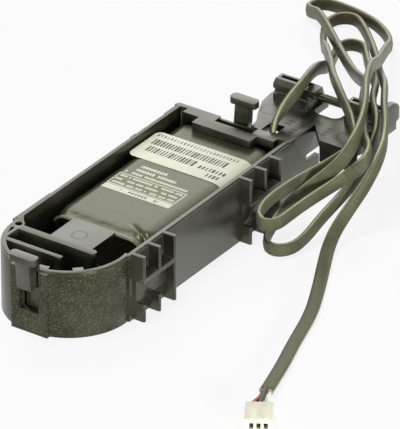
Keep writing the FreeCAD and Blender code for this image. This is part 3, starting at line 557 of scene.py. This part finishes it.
def sleeve_satin(look):
    """A satin flat sleeve with painted highlights along its edges, which puckers into cross ribs where it
    bends.
    """
    made, tree, shader, place = new_material("sleeve_satin", look.sleeve)
    uv = node(tree, "ShaderNodeUVMap", {"uv_map": "along"}).outputs["UV"]
    marks = group_node(tree, handling_group(), {"Vector": place, "Colour": look.sleeve, "Amount": 0.2})
    turn = math_node(tree, "MULTIPLY", split_axes(tree, uv)[0], 2 * math.pi)
    edge = math_node(tree, "ABSOLUTE", math_node(tree, "COSINE", turn))
    # Painted highlight: both edges of the flat section are mixed towards a pale colour.
    colour = mix_colour(tree, ramp(tree, edge, 0.93, 1.0, 0.75), marks["Colour"], look.edge_highlight)
    tree.links.new(colour, shader.inputs["Base Color"])
    tree.links.new(math_node(tree, "ADD", marks["Rough"], 0.4), shader.inputs["Roughness"])
    shader.inputs["Specular IOR Level"].default_value = 0.35
    shader.inputs["Specular Tint"].default_value = (1, 1, 0.6, 1)
    ribs = node(tree, "ShaderNodeTexWave", {"wave_type": "BANDS", "bands_direction": "Y"}, {
        "Vector": uv, "Scale": 190.0, "Distortion": 2.0, "Detail": 2.0})
    bend = node(tree, "ShaderNodeAttribute", {"attribute_name": "bend"}).outputs["Fac"]
    pucker = math_node(tree, "ADD", math_node(tree, "MULTIPLY", bend, 0.9), 0.1)
    add_bump(tree, shader, math_node(tree, "MULTIPLY", ribs.outputs["Fac"], pucker), 0.4, 0.25 * MM)
    return made


def wire_skin(name, colour):
    """Extruded wire insulation."""
    made, tree, shader, place = new_material(name, colour)
    marks = group_node(tree, handling_group(), {"Vector": place, "Colour": colour, "Amount": 0.12})
    tree.links.new(marks["Colour"], shader.inputs["Base Color"])
    tree.links.new(math_node(tree, "ADD", marks["Rough"], 0.35), shader.inputs["Roughness"])
    return made


def connector_nylon():
    """Cream nylon with a soft grain."""
    colour = (0.82, 0.79, 0.62, 1)
    made, tree, shader, place = new_material("connector_nylon", colour)
    marks = group_node(tree, handling_group(), {"Vector": place, "Colour": colour, "Amount": 0.2})
    tree.links.new(marks["Colour"], shader.inputs["Base Color"])
    shader.inputs["Roughness"].default_value = 0.45
    shader.inputs["Subsurface Weight"].default_value = 0.08
    shader.inputs["Subsurface Radius"].default_value = (0.0012, 0.001, 0.0007)
    grain = group_node(tree, grain_group(), {"Vector": place, "Grain": 2600.0})
    add_bump(tree, shader, grain["Height"], 0.15, 0.05 * MM)
    return made


def contact_tin():
    """Tin-plated contact metal."""
    colour = (0.72, 0.69, 0.6, 1)
    made, tree, shader, place = new_material("contact_tin", colour)
    marks = group_node(tree, handling_group(), {"Vector": place, "Colour": colour, "Amount": 0.3})
    tree.links.new(marks["Colour"], shader.inputs["Base Color"])
    shader.inputs["Metallic"].default_value = 1.0
    tree.links.new(math_node(tree, "ADD", marks["Rough"], 0.3), shader.inputs["Roughness"])
    return made


def new_object(name, data):
    """An object in the scene."""
    made = bpy.data.objects.new(name, data)
    bpy.context.scene.collection.objects.link(made)
    return made


def piece(name, mesh, material, slot, *nodes):
    """A finished object at the origin that rides on the body and stands for its CAD nodes."""
    made = new_object(name, mesh)
    mesh.materials.clear()
    mesh.materials.append(material)
    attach(made, BODY)
    if nodes:
        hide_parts(*nodes)
    return made


def evaluated_mesh(made):
    """The object's final mesh, with its modifiers applied."""
    bpy.context.view_layer.update()
    depsgraph = bpy.context.evaluated_depsgraph_get()
    return bpy.data.meshes.new_from_object(made.evaluated_get(depsgraph))


def finished_mesh(work, name):
    """A mesh from the work in hand, which is freed."""
    mesh = bpy.data.meshes.new(name)
    work.to_mesh(mesh)
    work.free()
    return mesh


def rounded_copy(source, name, width, wide=None, is_wide=None):
    """A copy of a CAD node's mesh with softened edges, more so where a test of an edge's middle asks."""
    work = bmesh.new()
    work.from_mesh(NODES[source].data)
    bmesh.ops.remove_doubles(work, verts=work.verts, dist=1e-6)
    bmesh.ops.dissolve_limit(work, angle_limit=FLAT_ANGLE, verts=work.verts, edges=work.edges)
    weight = work.edges.layers.float.new("bevel_weight_edge")
    widest = wide or width
    for edge in work.edges:
        if edge.calc_face_angle(0.0) > BEVEL_ANGLE:
            middle = (edge.verts[0].co + edge.verts[1].co) / 2
            edge[weight] = 1.0 if is_wide and is_wide(middle) else width / widest
    holder = new_object(name + "_work", finished_mesh(work, name))
    bevel = holder.modifiers.new("soft_edges", "BEVEL")
    bevel.width = widest
    bevel.segments = 3
    bevel.limit_method = "WEIGHT"
    bevel.use_clamp_overlap = True
    done = evaluated_mesh(holder)
    bpy.data.objects.remove(holder)
    done.shade_smooth()
    done.set_sharp_from_angle(angle=SHARP_ANGLE)
    done.name = name
    return done


def share(value):
    """A value kept between nothing and all."""
    return max(0.0, min(1.0, value))


def blended(keys, steps):
    """Rows of values on a smooth curve through the keys, with some steps between each two."""
    rows = []
    last = len(keys) - 1
    for index in range(last):
        four = [keys[min(max(index + shift, 0), last)] for shift in (-1, 0, 1, 2)]
        for step in range(steps):
            t = step / steps
            rows.append([0.5 * (2 * b + (c - a) * t + (2 * a - 5 * b + 4 * c - d) * t * t
                                + (3 * b - a - 3 * c + d) * t * t * t) for a, b, c, d in zip(*four)])
    rows.append(list(keys[-1]))
    return rows


def box_ring(left, right, low, high, corner):
    """Points round a rectangle with round corners, the same number for every ring."""
    turns, across, upright = 10, 34, 6
    corners = [
        (right - corner, high - corner, 0), (left + corner, high - corner, 90),
        (left + corner, low + corner, 180), (right - corner, low + corner, 270),
    ]
    ring = []
    for index, (x, z, start) in enumerate(corners):
        for step in range(turns + 1):
            angle = math.radians(start + 90 * step / turns)
            ring.append(Vector((x + corner * math.cos(angle), z + corner * math.sin(angle))))
        x, z, start = corners[(index + 1) % 4]
        angle = math.radians(start)
        following = Vector((x + corner * math.cos(angle), z + corner * math.sin(angle)))
        count = across if index % 2 == 0 else upright
        begin = ring[-1].copy()
        ring += [begin.lerp(following, step / count) for step in range(1, count)]
    return ring


def film_rows():
    """The film's rings from its mouth to its rear: y, four insets, the corner and the share of painted
    highlight on the lip.
    """
    rows = blended(FILM_RINGS, FILM_STEPS)
    length = (PACK_HIGH.y - PACK_LOW.y) / MM
    y = FILM_RINGS[-1][0] + FILM_RING_GAP
    while y < length - FILM_END_ROUND:
        rows.append([y, 0.0, 0.0, 0.0, 0.0, PACK_CORNER, 0.0])
        y += FILM_RING_GAP
    for degrees in (0, 20, 40, 60, 80, 90):
        angle = math.radians(degrees)
        inset = FILM_END_ROUND * (1 - math.cos(angle))
        y = length - FILM_END_ROUND * (1 - math.sin(angle))
        rows.append([y, inset, inset, inset, inset, PACK_CORNER - inset, 0.0])
    return rows


def film_fold(x, y, z):
    """How far the film rises where it folds over at the mouth's right, and wrinkles behind the mouth."""
    start, along = Vector((9.0, 3.4)), Vector((5.8, -3.2))
    offset = Vector((x, y)) - start
    passed = offset.dot(along) / along.length_squared
    side = (offset.x * along.y - offset.y * along.x) / along.length
    window = share(1.4 - abs(passed - 0.45) * 1.6) if z > 11 else 0.0
    valley = -1.1 * math.exp(-((side + 1.1) / 0.75) ** 2)
    ridge = 0.55 * math.exp(-((side - 0.1) / 0.5) ** 2)
    return (valley + ridge) * window


def film_recess(x, y, z):
    """How far the lip is drawn back low on its left, where the film is pinched shut."""
    beside, below, in_front = share((-8.0 - x) / 4.0), share((15.5 - z) / 4.0), share((3.0 - y) / 3.0)
    return 3.0 * beside * below * in_front


def film_mesh(look):
    """The film as one skin, from the cells inside its mouth to its closed rear, with the painted highlight on
    its lip marked.
    """
    work = bmesh.new()
    painted_lip_highlight = work.verts.layers.float.new("painted_lip_highlight")
    inner = work.verts.layers.float.new("inner")
    low, high = PACK_LOW / MM, PACK_HIGH / MM
    rings = []
    for index, (y, left, right, top, bottom, corner, pale) in enumerate(film_rows()):
        ring = []
        reach = math.exp(-max(y - 1.5, 0.0) / 2.6) if y > 0.6 else 0.0
        for x, z in box_ring(low.x + left, high.x - right, low.z + bottom, high.z - top, corner):
            lift = film_fold(x, y, z) if index >= FIRST_FOLDED_RING else 0.0
            pull = noise.noise(Vector((x * 0.55, y * 0.35, z * 0.55))) * look.wrinkle / MM * reach
            drawn_back = film_recess(x, y, z)
            vertex = work.verts.new(
                Vector((x - pull * 0.4, low.y + y + drawn_back, z + lift + min(pull, 0.0))) * MM)
            # The share of painted highlight that this ring of the lip gets.
            vertex[painted_lip_highlight] = share(pale)
            vertex[inner] = 1.0 if index < CELL_RINGS else 0.0
            ring.append(vertex)
        rings.append(ring)
    for first, second in zip(rings, rings[1:]):
        for index in range(len(first)):
            beside = (index + 1) % len(first)
            work.faces.new((first[index], first[beside], second[beside], second[index])).smooth = True
    work.faces.new(list(reversed(rings[0])))
    work.faces.new(list(rings[-1]))
    bmesh.ops.recalc_face_normals(work, faces=work.faces)
    return finished_mesh(work, "film_pack")


def smooth_line(points):
    """Points along a NURBS spline that has these as its control points."""
    curve = bpy.data.curves.new("route", "CURVE")
    curve.dimensions = "3D"
    curve.resolution_u = 16
    spline = curve.splines.new("NURBS")
    spline.points.add(len(points) - 1)
    for target, point in zip(spline.points, points):
        target.co = (*point, 1.0)
    spline.order_u = 3
    spline.use_endpoint_u = True
    holder = new_object("route", curve)
    mesh = evaluated_mesh(holder)
    line = [vertex.co.copy() for vertex in mesh.vertices]
    bpy.data.objects.remove(holder)
    bpy.data.curves.remove(curve)
    bpy.data.meshes.remove(mesh)
    return line


def lead_route():
    """The lead's control points in metres, and how far it stands on edge at each."""
    points, stands = [], []
    for x, y, z, stand in LEAD_EXIT:
        points.append(Vector((x * MM, PACK_HIGH.y + y * MM, z * MM)))
        stands.append(Vector((stand, 0, 0)))
    for x, y, z, stand in LEAD_COIL:
        points.append(ARM_CORNER + Vector((x, y, z)) * MM)
        stands.append(Vector((stand, 0, 0)))
    return points, stands


def flat_section(half_width, half_thickness, count):
    """The sleeve's section: a flat oval that shows three wires a little."""
    ring = []
    for index in range(count):
        angle = 2 * math.pi * index / count
        across, through = math.cos(angle), math.sin(angle)
        lobes = 1 + 0.06 * math.cos(3 * math.pi * across)
        ring.append((half_width * math.copysign(abs(across) ** 0.75, across),
                     half_thickness * math.copysign(abs(through) ** 0.7, through) * lobes))
    return ring


def swept_sleeve(name, line, stands, width, thickness):
    """A flat sleeve along a line, turned on edge by its stand values, with a UV map and its bends marked."""
    section = flat_section(width / 2, thickness / 2, SECTION_POINTS)
    work = bmesh.new()
    layer = work.loops.layers.uv.new("along")
    bend = work.verts.layers.float.new("bend")
    rings, reach = [], [0.0]
    up = Vector((0, 0, 1))
    last = len(line) - 1
    for index, point in enumerate(line):
        before, after = line[max(index - BEND_REACH, 0)], line[min(index + BEND_REACH, last)]
        into = (point - before).normalized() if index else None
        away = (after - point).normalized() if index < last else into
        into = into or away
        span = (after - before).length / 2
        tightness = min(1.0, into.angle(away, 0.0) / max(span, 1e-6) * PUCKER_RADIUS)
        tangent = (line[min(index + 1, last)] - line[max(index - 1, 0)]).normalized()
        side = tangent.cross(up)
        side = side.normalized() if side.length > 0.05 else Vector((1, 0, 0))
        rise = side.cross(tangent)
        turn = stands[index].x * math.pi / 2
        wide = side * math.cos(turn) + rise * math.sin(turn)
        thin = wide.cross(tangent)
        ring = [work.verts.new(point + wide * a + thin * b) for a, b in section]
        for vertex in ring:
            vertex[bend] = tightness
        rings.append(ring)
        if index:
            reach.append(reach[-1] + (point - line[index - 1]).length)
    count = len(section)
    for row in range(last):
        for column in range(count):
            beside = (column + 1) % count
            face = work.faces.new((
                rings[row][column], rings[row + 1][column], rings[row + 1][beside], rings[row][beside]))
            across = (column / count, column / count, (column + 1) / count, (column + 1) / count)
            length = (reach[row], reach[row + 1], reach[row + 1], reach[row])
            for loop, u, v in zip(face.loops, across, length):
                loop[layer].uv = (u, v)
            face.smooth = True
    work.faces.new(list(rings[0]))
    work.faces.new(list(reversed(rings[-1])))
    bmesh.ops.recalc_face_normals(work, faces=work.faces)
    return finished_mesh(work, name)


def label_height(x):
    """The label's upper face: flat, then round the pack's right corner."""
    flat = PACK_HIGH.x - PACK_CORNER * MM
    if x <= flat:
        return LABEL_HIGH.z
    radius = LABEL_HIGH.z - PACK_HIGH.z + PACK_CORNER * MM
    reach = min(x - flat, radius)
    return LABEL_HIGH.z - radius + math.sqrt(radius * radius - reach * reach)


def bar_tree():
    """Geometry nodes that lay out a row of upright bars with uneven widths."""
    tree = new_group(
        "bar_row", "GeometryNodeTree",
        [("Count", "Int", 40), ("Pitch", "Float", 0.5 * MM), ("Bar Length", "Float", 4 * MM),
         ("Thinnest", "Float", 0.15 * MM), ("Widest", "Float", 0.4 * MM), ("Seed", "Int", 0),
         ("Ink", "Material", None)],
        [("Geometry", "Geometry")])
    start = tree.nodes.new("NodeGroupInput")
    step = node(tree, "ShaderNodeCombineXYZ", None, {"X": start.outputs["Pitch"]})
    row = node(tree, "GeometryNodeMeshLine", {"mode": "OFFSET"}, {
        "Count": start.outputs["Count"], "Offset": step.outputs["Vector"]})
    bar = node(tree, "GeometryNodeMeshGrid", None, {
        "Size X": 1.0, "Size Y": 1.0, "Vertices X": 2, "Vertices Y": 6})
    width = node(tree, "FunctionNodeRandomValue", {"data_type": "FLOAT"})
    for index, label in ((2, "Thinnest"), (3, "Widest"), (8, "Seed")):
        tree.links.new(start.outputs[label], width.inputs[index])
    size = node(tree, "ShaderNodeCombineXYZ", None, {
        "X": width.outputs[1], "Y": start.outputs["Bar Length"], "Z": 1.0})
    bars = node(tree, "GeometryNodeInstanceOnPoints", None, {
        "Points": row.outputs["Mesh"], "Instance": bar.outputs["Mesh"], "Scale": size.outputs["Vector"]})
    real = node(tree, "GeometryNodeRealizeInstances", None, {"Geometry": bars.outputs["Instances"]})
    inked = node(tree, "GeometryNodeSetMaterial", None, {
        "Geometry": real.outputs["Geometry"], "Material": start.outputs["Ink"]})
    end = tree.nodes.new("NodeGroupOutput")
    tree.links.new(inked.outputs["Geometry"], end.inputs["Geometry"])
    return tree


def bar_row(tree, values):
    """A plain mesh of one row of bars."""
    holder = new_object("bars_work", bpy.data.meshes.new("bars_work"))
    layout = holder.modifiers.new("bars", "NODES")
    layout.node_group = tree
    for item in tree.interface.items_tree:
        if item.in_out == "INPUT" and item.name in values:
            layout[item.identifier] = values[item.name]
    mesh = evaluated_mesh(holder)
    bpy.data.objects.remove(holder)
    return mesh


class DressTray(bpy.types.Operator):
    """Softens the moulding's edges and gives it its grained plastic"""

    bl_idname = "powerpack.dress_tray"
    bl_label = "Tray"

    def execute(self, context):
        look = context.scene.tray_look
        head_low, arm_front = 23.0 * MM, 90.0 * MM
        mesh = rounded_copy("holder_tray", "tray_moulding", look.edge_round, look.head_round,
                            lambda middle: middle.z > head_low and middle.y < arm_front)
        piece("tray_moulding", mesh, tray_plastic(look), "tray_plastic", "holder_tray")
        return {"FINISHED"}


class DressPack(bpy.types.Operator):
    """Builds the film-wrapped pack with its pinched, open front end"""

    bl_idname = "powerpack.dress_pack"
    bl_label = "Pack"

    def execute(self, context):
        look = context.scene.pack_look
        piece("film_pack", film_mesh(look), pack_film(look), "pack_film", "capacitor_pack")
        return {"FINISHED"}


class DressLabel(bpy.types.Operator):
    """Builds the paper label with its free end and its rows of plain bars"""

    bl_idname = "powerpack.dress_label"
    bl_label = "Label"

    def execute(self, context):
        look = context.scene.label_look
        mesh = rounded_copy("part_label", "paper_label", 0.03 * MM)
        piece("paper_label", mesh, label_paper(look), "label_paper", "part_label")
        ink = label_ink(look)
        tree = bar_tree()
        middle = (LABEL_LOW.y + LABEL_HIGH.y) / 2
        work = bmesh.new()
        for index, (left, y, count, pitch, length, thinnest, widest) in enumerate(LABEL_ROWS):
            bars = bar_row(tree, {
                "Count": count, "Pitch": pitch * MM, "Bar Length": length * MM, "Thinnest": thinnest * MM,
                "Widest": widest * MM, "Seed": look.bar_seed + index, "Ink": ink})
            bars.transform(Matrix.Translation((left * MM, middle + y * MM, 0)))
            work.from_mesh(bars)
            bpy.data.meshes.remove(bars)
        for vertex in work.verts:
            vertex.co.z = label_height(vertex.co.x) + INK_LIFT
        piece("label_bars", finished_mesh(work, "label_bars"), ink, "label_paper")
        return {"FINISHED"}


class DressLead(bpy.types.Operator):
    """Builds the flat sleeve along its route and finishes the wires and the connector on its end"""

    bl_idname = "powerpack.dress_lead"
    bl_label = "Lead"

    def execute(self, context):
        look = context.scene.lead_look
        points, stands = lead_route()
        line, turns = smooth_line(points), smooth_line(stands)
        if len(line) != len(turns):
            raise RuntimeError("the lead's line and its turns have different lengths")
        mesh = swept_sleeve("flat_sleeve", line, turns, look.width, look.thickness)
        sleeve = piece("flat_sleeve", mesh, sleeve_satin(look), "sleeve", "cable_sleeve")
        for name, colour in WIRE_COLOURS.items():
            wire = NODES["wire_" + name]
            wire.data.materials.clear()
            wire.data.materials.append(wire_skin(name + "_wire", colour))
        housing = rounded_copy("connector_housing", "plug_housing", 0.12 * MM)
        piece(
            "plug_housing", housing, connector_nylon(), "connector_plastic", "connector_housing")
        contacts = NODES["connector_contacts"]
        contacts.data.materials.clear()
        contacts.data.materials.append(contact_tin())
        return {"FINISHED"}


class SetStage(bpy.types.Operator):
    """Sets the floor, the lamps, the world and the camera"""

    bl_idname = "powerpack.set_stage"
    bl_label = "Stage"

    def execute(self, context):
        look = context.scene.stage_look
        self.set_floor(look)
        self.set_lamps()
        self.set_world(context)
        self.set_camera(context, look)
        context.scene.view_settings.view_transform = "Standard"
        return {"FINISHED"}

    def set_floor(self, look):
        """A wide pale floor that looks white and keeps the shadow."""
        mesh = bpy.data.meshes.new("floor")
        reach = 6.0
        corners = [(-reach, -reach, 0), (reach, -reach, 0), (reach, reach, 0), (-reach, reach, 0)]
        mesh.from_pydata(corners, [], [(0, 1, 2, 3)])
        floor = new_object("floor", mesh)
        made, tree, shader = new_material("floor", look.floor)[:3]
        shader.inputs["Base Color"].default_value = look.floor
        shader.inputs["Roughness"].default_value = 0.9
        shader.inputs["Specular IOR Level"].default_value = 0.1
        glow = node(tree, "ShaderNodeEmission", None, {"Color": (1, 1, 1, 1), "Strength": 1.0})
        glowing = math_node(tree, "MULTIPLY", background_rays(tree), 0.85)
        both = node(tree, "ShaderNodeMixShader", None, {0: glowing, 1: shader.outputs[0], 2: glow.outputs[0]})
        tree.links.new(both.outputs[0], tree.nodes["Material Output"].inputs["Surface"])
        mesh.materials.append(made)

    def set_lamps(self):
        """A wide panel behind, and soft boxes overhead, at the right and in front."""
        for name, place, width, height, power in LAMPS:
            lamp = bpy.data.lights.new(name, "AREA")
            lamp.shape = "RECTANGLE"
            lamp.size = width
            lamp.size_y = height
            lamp.energy = power
            holder = new_object(name, lamp)
            holder.location = place
            holder.rotation_euler = (LAMP_TARGET - Vector(place)).to_track_quat("-Z", "Y").to_euler()

    def set_world(self, context):
        """Faint even light, with a white backdrop for the camera and in reflections."""
        world = bpy.data.worlds.new("studio")
        world.use_nodes = True
        context.scene.world = world
        tree = world.node_tree
        background = tree.nodes["Background"]
        background.inputs["Color"].default_value = (1, 1, 1, 1)
        strength = node(tree, "ShaderNodeMapRange", None, {
            "Value": background_rays(tree), "To Min": 0.1, "To Max": 1.0})
        tree.links.new(strength.outputs["Result"], background.inputs["Strength"])

    def set_camera(self, context, look):
        """The photograph's long lens and its angle, for a frame of 400 by 429."""
        frame_height = 429.0
        lens_pixels = 7000.0
        aim_right, aim_up, rear_shift = 47.72 * MM, 32.9 * MM, 19.0 * MM
        sin_a, cos_a = math.sin(look.azimuth), math.cos(look.azimuth)
        sin_e, cos_e = math.sin(look.elevation), math.cos(look.elevation)
        back = Vector((sin_a * cos_e, -cos_a * cos_e, sin_e))
        right = Vector((cos_a, sin_a, 0))
        up = back.cross(right)
        camera = bpy.data.cameras.new("photo_camera")
        camera.sensor_fit = "VERTICAL"
        camera.sensor_height = 36.0
        camera.lens = camera.sensor_height * lens_pixels / frame_height
        camera.clip_end = 20.0
        holder = new_object("photo_camera", camera)
        place = right * aim_right + up * aim_up + back * look.distance - Vector((0, rear_shift, 0))
        holder.matrix_world = Matrix.Translation(place) @ Matrix((right, up, back)).transposed().to_4x4()
        context.scene.camera = holder


class PowerPackPanel(bpy.types.Panel):
    """Lists the steps that dress the power pack"""

    bl_idname = "VIEW3D_PT_power_pack"
    bl_label = "Power pack"
    bl_space_type = "VIEW_3D"
    bl_region_type = "UI"
    bl_category = "Power Pack"

    def draw(self, context):
        for step in STEPS:
            self.layout.operator(step.bl_idname)


STEPS = (SetStage, DressLead, DressTray, DressPack, DressLabel)
LOOKS = {"tray_look": TrayLook, "pack_look": PackLook, "label_look": LabelLook, "lead_look": LeadLook,
         "stage_look": StageLook}


def register():
    """Adds the property groups, operators and panel."""
    for name, group in LOOKS.items():
        bpy.utils.register_class(group)
        setattr(bpy.types.Scene, name, bpy.props.PointerProperty(type=group))
    for step in STEPS:
        bpy.utils.register_class(step)
    bpy.utils.register_class(PowerPackPanel)


def unregister():
    """Takes the panel, operators and property groups away."""
    bpy.utils.unregister_class(PowerPackPanel)
    for step in reversed(STEPS):
        bpy.utils.unregister_class(step)
    for name, group in LOOKS.items():
        delattr(bpy.types.Scene, name)
        bpy.utils.unregister_class(group)


def main():
    """Registers the add-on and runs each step."""
    register()
    for step in STEPS:
        area, action = step.bl_idname.split(".")
        getattr(getattr(bpy.ops, area), action)()


if __name__ == "__main__":
    main()
